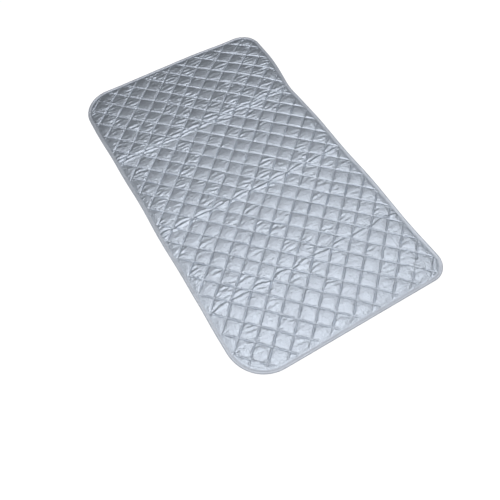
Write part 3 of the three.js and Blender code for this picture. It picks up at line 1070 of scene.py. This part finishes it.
def cloth_material(name, colour, metallic, roughness, weave_pitch, crumple):
    """Woven cloth: threads across and along, fine crumples and a slightly uneven colour."""
    material, tree = new_material(name)
    link = tree.links.new
    shader = tree.nodes["Principled BSDF"]
    shader.inputs["Metallic"].default_value = metallic
    place = node(tree, "ShaderNodeTexCoord", (-1400, 0)).outputs["Object"]

    def texture(kind, spot, **values):
        made = node(tree, kind, spot, **values)
        link(place, made.inputs["Vector"])
        return made.outputs["Fac"]

    weave = node(tree, "ShaderNodeMath", (-900, 300), operation="MULTIPLY")
    for number, turn in enumerate("XY"):
        scale = WAVE_REPEAT / (weave_pitch * MM)
        threads = texture("ShaderNodeTexWave", (-1100, 300), bands_direction=turn, Scale=scale)
        link(threads, weave.inputs[number])
    folds = texture("ShaderNodeTexNoise", (-1100, -100), Scale=230.0, Detail=3.0, Roughness=0.7)
    patches = texture("ShaderNodeTexNoise", (-1100, -400), Scale=26.0, Detail=4.0, Roughness=0.65)
    coarse = node(tree, "ShaderNodeBump", (-500, -200), Strength=crumple, Distance=CRUMPLE_DEPTH * MM)
    link(folds, coarse.inputs["Height"])
    fine = node(tree, "ShaderNodeBump", (-300, -200), Strength=WEAVE_STRENGTH, Distance=WEAVE_DEPTH * MM)
    link(weave.outputs["Value"], fine.inputs["Height"])
    link(coarse.outputs["Normal"], fine.inputs["Normal"])
    link(fine.outputs["Normal"], shader.inputs["Normal"])
    tint = node(tree, "ShaderNodeMapRange", (-700, 100))
    for end, value in zip(("From Min", "From Max"), TINT_SPAN):
        tint.inputs[end].default_value = value
    link(patches, tint.inputs["Value"])
    mix = node(tree, "ShaderNodeMix", (-400, 100), data_type="RGBA")
    for end, share in zip("AB", TINTS):
        mix.inputs[end].default_value = (*[min(1.0, part * share) for part in colour], 1.0)
    link(tint.outputs["Result"], mix.inputs["Factor"])
    link(mix.outputs["Result"], shader.inputs["Base Color"])
    gloss = node(tree, "ShaderNodeMapRange", (-700, -50))
    gloss.inputs["To Min"].default_value = roughness - GLOSS_SPREAD
    gloss.inputs["To Max"].default_value = roughness + GLOSS_SPREAD
    link(folds, gloss.inputs["Value"])
    link(gloss.outputs["Result"], shader.inputs["Roughness"])
    return material


def magnet_material():
    """Dark sintered disc with a fine grain."""
    material, tree = new_material("sintered_magnet")
    link = tree.links.new
    shader = tree.nodes["Principled BSDF"]
    shader.inputs["Roughness"].default_value = 0.55
    shader.inputs["Metallic"].default_value = 0.3
    place = node(tree, "ShaderNodeTexCoord", (-900, 0)).outputs["Object"]
    grain = node(tree, "ShaderNodeTexNoise", (-700, 0), Scale=900.0, Detail=4.0)
    link(place, grain.inputs["Vector"])
    mix = node(tree, "ShaderNodeMix", (-400, 100), data_type="RGBA")
    mix.inputs["A"].default_value = (0.04, 0.04, 0.045, 1.0)
    mix.inputs["B"].default_value = (0.09, 0.09, 0.10, 1.0)
    link(grain.outputs["Fac"], mix.inputs["Factor"])
    link(mix.outputs["Result"], shader.inputs["Base Color"])
    bump = node(tree, "ShaderNodeBump", (-300, -200), Strength=0.3, Distance=0.2 * MM)
    link(grain.outputs["Fac"], bump.inputs["Height"])
    link(bump.outputs["Normal"], shader.inputs["Normal"])
    return material


def add_floor():
    """A plain pale floor that keeps the pad's shadow."""
    material, tree = new_material("pale_floor")
    tree.nodes.clear()
    link = tree.links.new
    diffuse = node(tree, "ShaderNodeBsdfDiffuse", (0, 100), Color=(FLOOR_GREY, FLOOR_GREY, FLOOR_GREY, 1.0))
    glow = node(tree, "ShaderNodeEmission", (0, -100), Color=(1.0, 1.0, 1.0, 1.0))
    rays = node(tree, "ShaderNodeLightPath", (-600, -100))
    seen = rays.outputs["Is Camera Ray"]
    for kind in ("Is Glossy Ray", "Is Transmission Ray"):
        either = node(tree, "ShaderNodeMath", (-400, -100), operation="MAXIMUM")
        link(seen, either.inputs[0])
        link(rays.outputs[kind], either.inputs[1])
        seen = either.outputs["Value"]
    level = node(tree, "ShaderNodeMath", (-200, -100), operation="MULTIPLY")
    level.inputs[1].default_value = FLOOR_GLOW
    link(seen, level.inputs[0])
    link(level.outputs["Value"], glow.inputs["Strength"])
    both = node(tree, "ShaderNodeAddShader", (200, 0))
    link(diffuse.outputs["BSDF"], both.inputs[0])
    link(glow.outputs["Emission"], both.inputs[1])
    out = node(tree, "ShaderNodeOutputMaterial", (400, 0))
    link(both.outputs["Shader"], out.inputs["Surface"])
    corners = [(-1.0, -1.0), (1.0, -1.0), (1.0, 1.0), (-1.0, 1.0)]
    points = [(x * FLOOR_REACH, y * FLOOR_REACH, -FLOOR_DROP) for x, y in corners]
    floor = add_piece("floor", points, [[0, 1, 2, 3]], material)


def add_lamp(name, place, aim, turn, width, length, power):
    """A flat soft lamp at a place, facing another, in metres, and turned about its own axis in degrees."""
    data = bpy.data.lights.new(name, "AREA")
    data.shape = "RECTANGLE"
    data.size = width
    data.size_y = length
    data.energy = power
    lamp = add_object(name, data)
    lamp.location = place
    lamp.rotation_mode = "QUATERNION"
    facing = (Vector(place) - Vector(aim)).to_track_quat("Z", "Y")
    lamp.rotation_quaternion = facing @ Quaternion((0.0, 0.0, 1.0), math.radians(turn))


def add_light():
    """A broad soft lamp overhead, which the silver cloth mirrors, a near lamp and an even dim room."""
    above, below = (0.1, -0.13, 1.5), (0.1, -0.13, 0.0)
    add_lamp("overhead_lamp", above, below, turn=3.0, width=2.75, length=1.5, power=28.3)
    near, middle = (-0.8, -2.0, 1.5), (0.0, 0.0, 0.0)
    add_lamp("near_lamp", near, middle, turn=0.0, width=2.4, length=1.6, power=10.0)
    world = bpy.data.worlds.new("room")
    world.use_nodes = True
    background = world.node_tree.nodes["Background"]
    background.inputs["Color"].default_value = (1.0, 1.0, 1.0, 1.0)
    background.inputs["Strength"].default_value = ROOM_GLOW
    bpy.context.scene.world = world


def add_camera():
    """The camera at the photograph's viewing angle."""
    turn, rise, roll = (math.radians(x) for x in (CAMERA_AZIMUTH, CAMERA_ELEVATION, CAMERA_ROLL))
    back = Vector((math.sin(turn) * math.cos(rise), -math.cos(turn) * math.cos(rise), math.sin(rise)))
    level = Vector((0.0, 0.0, 1.0)).cross(back).normalized()
    upright = back.cross(level)
    right = math.cos(roll) * level + math.sin(roll) * upright
    up = math.cos(roll) * upright - math.sin(roll) * level
    data = bpy.data.cameras.new("camera")
    data.lens = CAMERA_LENS
    data.sensor_width = CAMERA_SENSOR
    data.clip_start = CAMERA_CLIP_START
    camera = add_object("camera", data)
    camera.matrix_world = Matrix((right, up, back)).transposed().to_4x4()
    camera.location = Vector(CAMERA_PLACE) * MM
    bpy.context.scene.camera = camera


add_camera()
add_light()
add_floor()
face_cloth = cloth_material(
    "silver_satin", (0.53, 0.58, 0.655), metallic=0.9, roughness=0.41, weave_pitch=0.7, crumple=0.9
)
backing_cloth = cloth_material(
    "backing_weave", (0.50, 0.51, 0.54), metallic=0.0, roughness=0.85, weave_pitch=0.9, crumple=0.2
)
tape_cloth = cloth_material(
    "tape_weave", (0.53, 0.565, 0.63), metallic=0.5, roughness=0.5, weave_pitch=0.6, crumple=0.5
)
thread_cloth = cloth_material(
    "thread_fibre", (0.55, 0.58, 0.64), metallic=0.1, roughness=0.5, weave_pitch=0.3, crumple=0.1
)
pouch_cloth = cloth_material(
    "pouch_lining", (0.76, 0.76, 0.75), metallic=0.0, roughness=0.9, weave_pitch=0.6, crumple=0.2
)
quilt, quilt_top = add_layers(face_cloth, backing_cloth)
add_tape(tape_cloth)
lowest = np.maximum(backing_height(quilt), UNDER_THREAD_LOWEST)
quilt_under = np.column_stack([quilt_top[:, :2], lowest])
seam_over, seam_under = seam_paths(quilt, quilt_top), seam_paths(quilt, quilt_under)
tape_over, tape_under = [tape_stitch_path(TAPE_STITCH_HEIGHT)], [tape_stitch_path(TAPE_UNDER_STITCH_HEIGHT)]
add_thread("quilting_thread", seam_over, THREAD_LIFT, 1.0, thread_cloth)
add_thread("under_thread", seam_under, UNDER_THREAD_LIFT, -1.0, thread_cloth)
add_thread("tape_thread", tape_over, 0.0, 1.0, thread_cloth)
add_thread("tape_under_thread", tape_under, 0.0, -1.0, thread_cloth)
sintered = magnet_material()
for name in MAGNETS:
    frame["nodes"]["magnet_" + name].data.materials.clear()
    frame["nodes"]["magnet_" + name].data.materials.append(sintered)
    add_pouch(name, pouch_cloth)

bpy.context.scene.view_settings.view_transform = "Standard"
